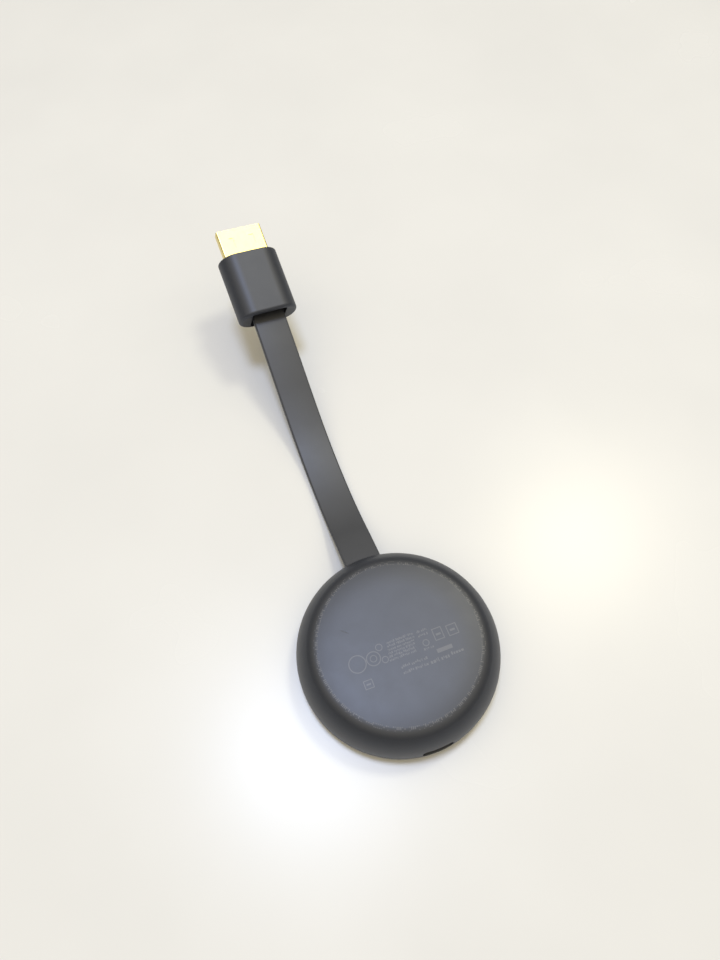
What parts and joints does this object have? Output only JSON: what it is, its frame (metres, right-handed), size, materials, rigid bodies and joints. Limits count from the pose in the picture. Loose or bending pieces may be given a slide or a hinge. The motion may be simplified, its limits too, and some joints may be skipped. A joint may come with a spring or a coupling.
{
  "type": "streaming media player",
  "caption": "Round puck-shaped streaming media player with a flat flexible cable, a gold video plug, a micro-B power socket and a reset button in the rim.",
  "frame": {"origin": "centre of the flat front face of the puck, which is the face it lies on", "axes": "+Z from the front face to the label face, +Y from the puck centre toward the cable exit, +X to the right of the label when the cable points up"},
  "size_m": [0.0518, 0.1583, 0.0306],
  "materials": {
    "cover_back": "fine matte texture",
    "cover_front": "fine matte texture",
    "adhesive": "cured adhesive",
    "board": "solder mask",
    "chip": "moulded chip package",
    "ceramic": "ceramic",
    "shield_steel": "tinned sheet",
    "spreader_steel": "bead blasted",
    "gap_pad": "soft silicone",
    "socket_steel": "bright stamped sheet",
    "black_insulator": "moulded",
    "contact_gold": "gold plated",
    "button_plastic": "fine matte texture",
    "switch_plastic": "moulded",
    "plunger_plastic": "moulded",
    "light_lens": "clear moulded",
    "antenna_metal": "stamped strip",
    "cable_rubber": "smooth matte jacket",
    "lead_rubber": "thin insulation",
    "grip_plastic": "fine matte texture",
    "inner_mold_plastic": "moulded",
    "plug_gold": "gold plated"
  },
  "bodies": {
    "puck": {"rear_cover": "cover_back", "front_cover": "cover_front", "seam_adhesive": "adhesive", "main_board": "board", "processor": "chip", "memory_chip": "chip", "clock_crystal": "shield_steel", "wifi_chip": "chip", "flash_chip": "chip", "power_chip": "chip", "power_inductors": "ceramic", "board_capacitors": "ceramic", "rear_shield_frame": "shield_steel", "rear_shield_lid": "shield_steel", "front_shield_frame": "shield_steel", "front_shield_lid": "shield_steel", "processor_pad": "gap_pad", "rear_gap_pad": "gap_pad", "front_gap_pad": "gap_pad", "rear_heat_spreader": "spreader_steel", "front_heat_spreader": "spreader_steel", "left_antenna": "antenna_metal", "right_antenna": "antenna_metal", "status_led": "light_lens", "light_pipe": "light_lens", "switch_body": "switch_plastic", "usb_shell": "socket_steel", "usb_tongue": "black_insulator", "usb_contacts": "contact_gold", "cable_anchor": "black_insulator", "cable_leads": "lead_rubber", "ribbon_cable": "cable_rubber", "plug_overmold": "grip_plastic", "plug_inner_mold": "inner_mold_plastic", "plug_shield_can": "shield_steel", "plug_leads": "lead_rubber", "plug_shell": "plug_gold", "plug_insulator": "black_insulator", "contact_carrier": "black_insulator", "plug_contacts": "contact_gold"},
    "reset_button": {"reset_button": "button_plastic"},
    "switch_plunger": {"switch_plunger": "plunger_plastic"}
  },
  "joints": [
    {"name": "reset_press", "type": "slide", "parent": "puck", "child": "reset_button", "axis": [-0.5892, 0.808, 0], "range_m": [0, 0.0003], "stiffness_N_per_m": 400, "springref_m": -0.001},
    {"name": "switch_press", "type": "slide", "parent": "puck", "child": "switch_plunger", "axis": [-0.5892, 0.808, 0], "range_m": [0, 0.0003]}
  ],
  "couplings": [
    {"joint": "switch_press", "follows": "reset_press", "ratio": 1}
  ]
}
